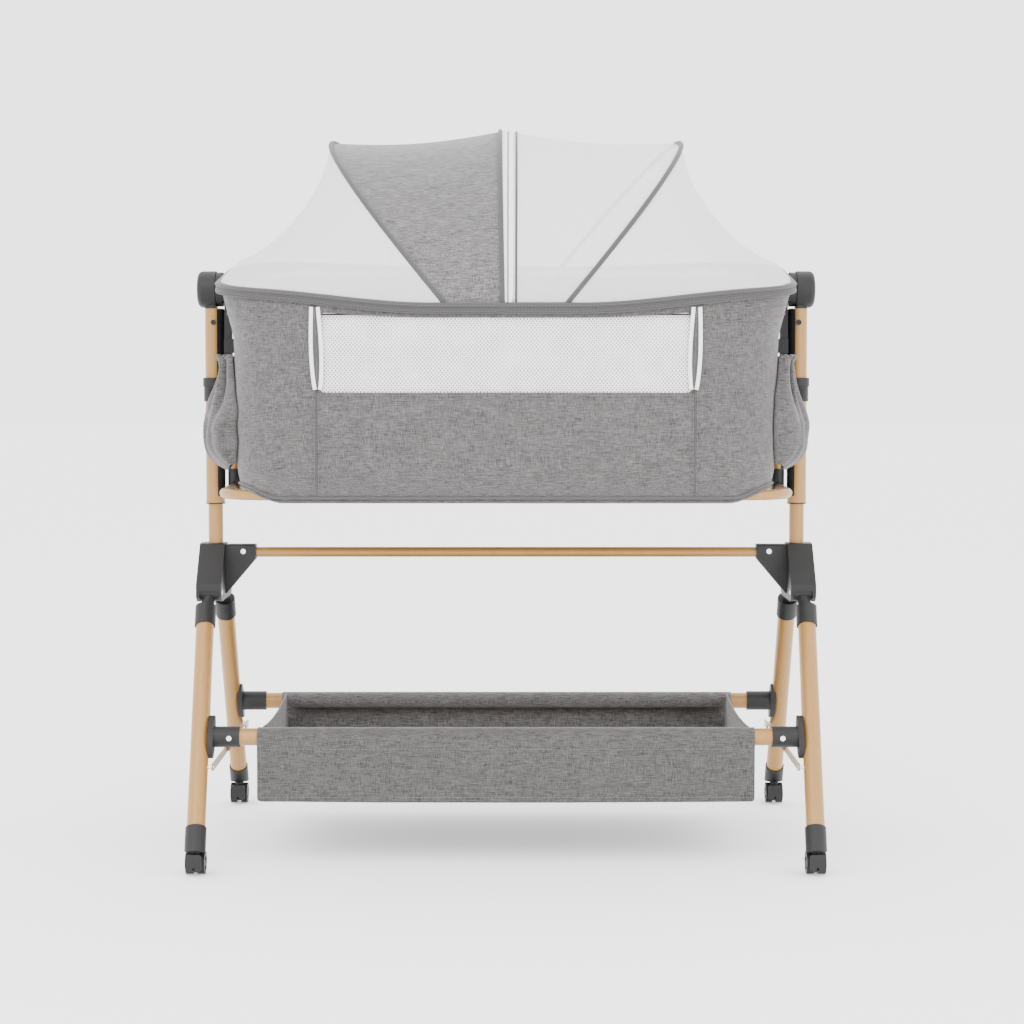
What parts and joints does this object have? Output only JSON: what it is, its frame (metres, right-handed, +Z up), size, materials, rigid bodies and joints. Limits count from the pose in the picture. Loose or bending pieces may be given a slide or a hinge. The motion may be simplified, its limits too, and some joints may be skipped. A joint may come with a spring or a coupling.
{
  "type": "bassinet on stand",
  "caption": "Bedside bassinet with zipped net canopy, hung to rock on a folding, height-adjustable A-frame stand with casters and a fabric basket.",
  "frame": {"origin": "on the floor, under the middle of the stand", "axes": "+X to the right seen from the front, along the bassinet; +Y to the rear, the bassinet's high side; +Z up"},
  "size_m": [1.048, 0.7034, 1.204],
  "materials": {
    "black_plastic": "fine moulded texture",
    "gold_tube": "satin sand-gold lacquer",
    "chrome": "polished",
    "steel": "zinc plated",
    "grey_linen": "melange linen weave",
    "white_mesh": "large-hole mesh",
    "white_net": "fine mosquito net",
    "zip_tape": "zip tape",
    "wheel_black": "smooth tread",
    "board": "pressed board",
    "mattress_cover": "knitted cover"
  },
  "bodies": {
    "stand": {"hubs": "black_plastic", "inner_posts": "gold_tube", "upper_cross_tube": "gold_tube", "hub_fasteners": "chrome", "basket_liner": "grey_linen"},
    "front_stays": {"front_stays": "gold_tube"},
    "rear_stays": {"rear_stays": "gold_tube"},
    "carrier": {"outer_posts": "gold_tube", "post_bushes": "black_plastic", "lock_collars": "black_plastic", "pivot_housings": "black_plastic", "post_trim": "black_plastic"},
    "lock_button_left": {"lock_button_left": "black_plastic"},
    "lock_button_right": {"lock_button_right": "black_plastic"},
    "bassinet": {"hangers": "black_plastic", "rocking_pins": "steel", "bottom_ring": "gold_tube", "corner_connectors": "black_plastic", "end_tubes": "gold_tube", "body_shell": "grey_linen", "window_mesh": "white_mesh", "top_rail": "steel", "base_board": "board", "mattress": "mattress_cover", "side_pockets": "grey_linen", "hoop_sockets": "black_plastic"},
    "canopy": {"canopy_shade": "grey_linen", "canopy_net_left": "white_net", "canopy_net_right": "white_net", "canopy_zip_strip": "zip_tape", "hoop_left": "steel", "hoop_centre": "steel", "hoop_right": "steel", "canopy_hem": "grey_linen"},
    "front_frame": {"front_legs": "gold_tube", "front_elbows": "black_plastic", "front_cross_tube": "gold_tube", "front_brackets": "black_plastic", "front_frame_fasteners": "chrome", "front_foot_caps": "black_plastic", "basket_front_panel": "grey_linen"},
    "rear_frame": {"rear_legs": "gold_tube", "rear_elbows": "black_plastic", "rear_cross_tube": "gold_tube", "rear_brackets": "black_plastic", "rear_frame_fasteners": "chrome", "rear_foot_caps": "black_plastic", "basket_rear_panel": "grey_linen"},
    "caster_fork_front_left": {"caster_fork_front_left": "black_plastic"},
    "caster_wheels_front_left": {"caster_wheels_front_left": "wheel_black"},
    "caster_pedal_front_left": {"caster_pedal_front_left": "black_plastic"},
    "caster_fork_front_right": {"caster_fork_front_right": "black_plastic"},
    "caster_wheels_front_right": {"caster_wheels_front_right": "wheel_black"},
    "caster_pedal_front_right": {"caster_pedal_front_right": "black_plastic"},
    "caster_fork_rear_left": {"caster_fork_rear_left": "black_plastic"},
    "caster_wheels_rear_left": {"caster_wheels_rear_left": "wheel_black"},
    "caster_pedal_rear_left": {"caster_pedal_rear_left": "black_plastic"},
    "caster_fork_rear_right": {"caster_fork_rear_right": "black_plastic"},
    "caster_wheels_rear_right": {"caster_wheels_rear_right": "wheel_black"},
    "caster_pedal_rear_right": {"caster_pedal_rear_right": "black_plastic"}
  },
  "joints": [
    {"name": "front_fold", "type": "hinge", "parent": "stand", "child": "front_frame", "pos_m": [0, -0.062, 0.428], "axis": [1, 0, 0], "range_deg": [0, 24], "deforming": ["basket_liner"]},
    {"name": "rear_fold", "type": "hinge", "parent": "stand", "child": "rear_frame", "pos_m": [0, 0.062, 0.428], "axis": [1, 0, 0], "range_deg": [-24, 0]},
    {"name": "front_stay_turn", "type": "hinge", "parent": "front_frame", "child": "front_stays", "pos_m": [0, -0.2496, 0.16], "axis": [1, 0, 0], "range_deg": [-24, 0]},
    {"name": "rear_stay_turn", "type": "hinge", "parent": "rear_frame", "child": "rear_stays", "pos_m": [0, 0.2496, 0.16], "axis": [1, 0, 0], "range_deg": [0, 24]},
    {"name": "height", "type": "slide", "parent": "stand", "child": "carrier", "axis": [0, 0, 1], "range_m": [-0.06, 0.08]},
    {"name": "rocking", "type": "hinge", "parent": "carrier", "child": "bassinet", "pos_m": [0, 0, 0.939], "axis": [1, 0, 0], "range_deg": [-8, 8]},
    {"name": "canopy_lift", "type": "slide", "parent": "bassinet", "child": "canopy", "axis": [0, 0, 1], "range_m": [0, 0.15]},
    {"name": "lock_button_left_press", "type": "slide", "parent": "carrier", "child": "lock_button_left", "axis": [0, 1, 0], "range_m": [0, 0.0025], "stiffness_N_per_m": 800},
    {"name": "lock_button_right_press", "type": "slide", "parent": "carrier", "child": "lock_button_right", "axis": [0, 1, 0], "range_m": [0, 0.0025], "stiffness_N_per_m": 800},
    {"name": "caster_swivel_front_left", "type": "hinge", "parent": "front_frame", "child": "caster_fork_front_left", "pos_m": [-0.4945, -0.3228, 0.045], "axis": [0, 0, 1], "continuous": true},
    {"name": "caster_roll_front_left", "type": "hinge", "parent": "caster_fork_front_left", "child": "caster_wheels_front_left", "pos_m": [-0.4945, -0.3173, 0.017], "axis": [1, 0, 0], "continuous": true},
    {"name": "caster_brake_front_left", "type": "hinge", "parent": "caster_fork_front_left", "child": "caster_pedal_front_left", "pos_m": [-0.4945, -0.3403, 0.031], "axis": [1, 0, 0], "range_deg": [-12, 0]},
    {"name": "caster_swivel_front_right", "type": "hinge", "parent": "front_frame", "child": "caster_fork_front_right", "pos_m": [0.4945, -0.3228, 0.045], "axis": [0, 0, 1], "continuous": true},
    {"name": "caster_roll_front_right", "type": "hinge", "parent": "caster_fork_front_right", "child": "caster_wheels_front_right", "pos_m": [0.4945, -0.3173, 0.017], "axis": [1, 0, 0], "continuous": true},
    {"name": "caster_brake_front_right", "type": "hinge", "parent": "caster_fork_front_right", "child": "caster_pedal_front_right", "pos_m": [0.4945, -0.3403, 0.031], "axis": [1, 0, 0], "range_deg": [-12, 0]},
    {"name": "caster_swivel_rear_left", "type": "hinge", "parent": "rear_frame", "child": "caster_fork_rear_left", "pos_m": [-0.496, 0.3228, 0.045], "axis": [0, 0, 1], "continuous": true},
    {"name": "caster_roll_rear_left", "type": "hinge", "parent": "caster_fork_rear_left", "child": "caster_wheels_rear_left", "pos_m": [-0.496, 0.3283, 0.017], "axis": [1, 0, 0], "continuous": true},
    {"name": "caster_brake_rear_left", "type": "hinge", "parent": "caster_fork_rear_left", "child": "caster_pedal_rear_left", "pos_m": [-0.496, 0.3053, 0.031], "axis": [1, 0, 0], "range_deg": [-12, 0]},
    {"name": "caster_swivel_rear_right", "type": "hinge", "parent": "rear_frame", "child": "caster_fork_rear_right", "pos_m": [0.496, 0.3228, 0.045], "axis": [0, 0, 1], "continuous": true},
    {"name": "caster_roll_rear_right", "type": "hinge", "parent": "caster_fork_rear_right", "child": "caster_wheels_rear_right", "pos_m": [0.496, 0.3283, 0.017], "axis": [1, 0, 0], "continuous": true},
    {"name": "caster_brake_rear_right", "type": "hinge", "parent": "caster_fork_rear_right", "child": "caster_pedal_rear_right", "pos_m": [0.496, 0.3053, 0.031], "axis": [1, 0, 0], "range_deg": [-12, 0]}
  ],
  "couplings": [
    {"joint": "rear_fold", "follows": "front_fold", "ratio": -1},
    {"joint": "front_stay_turn", "follows": "front_fold", "ratio": -1},
    {"joint": "rear_stay_turn", "follows": "front_fold", "ratio": 1}
  ]
}
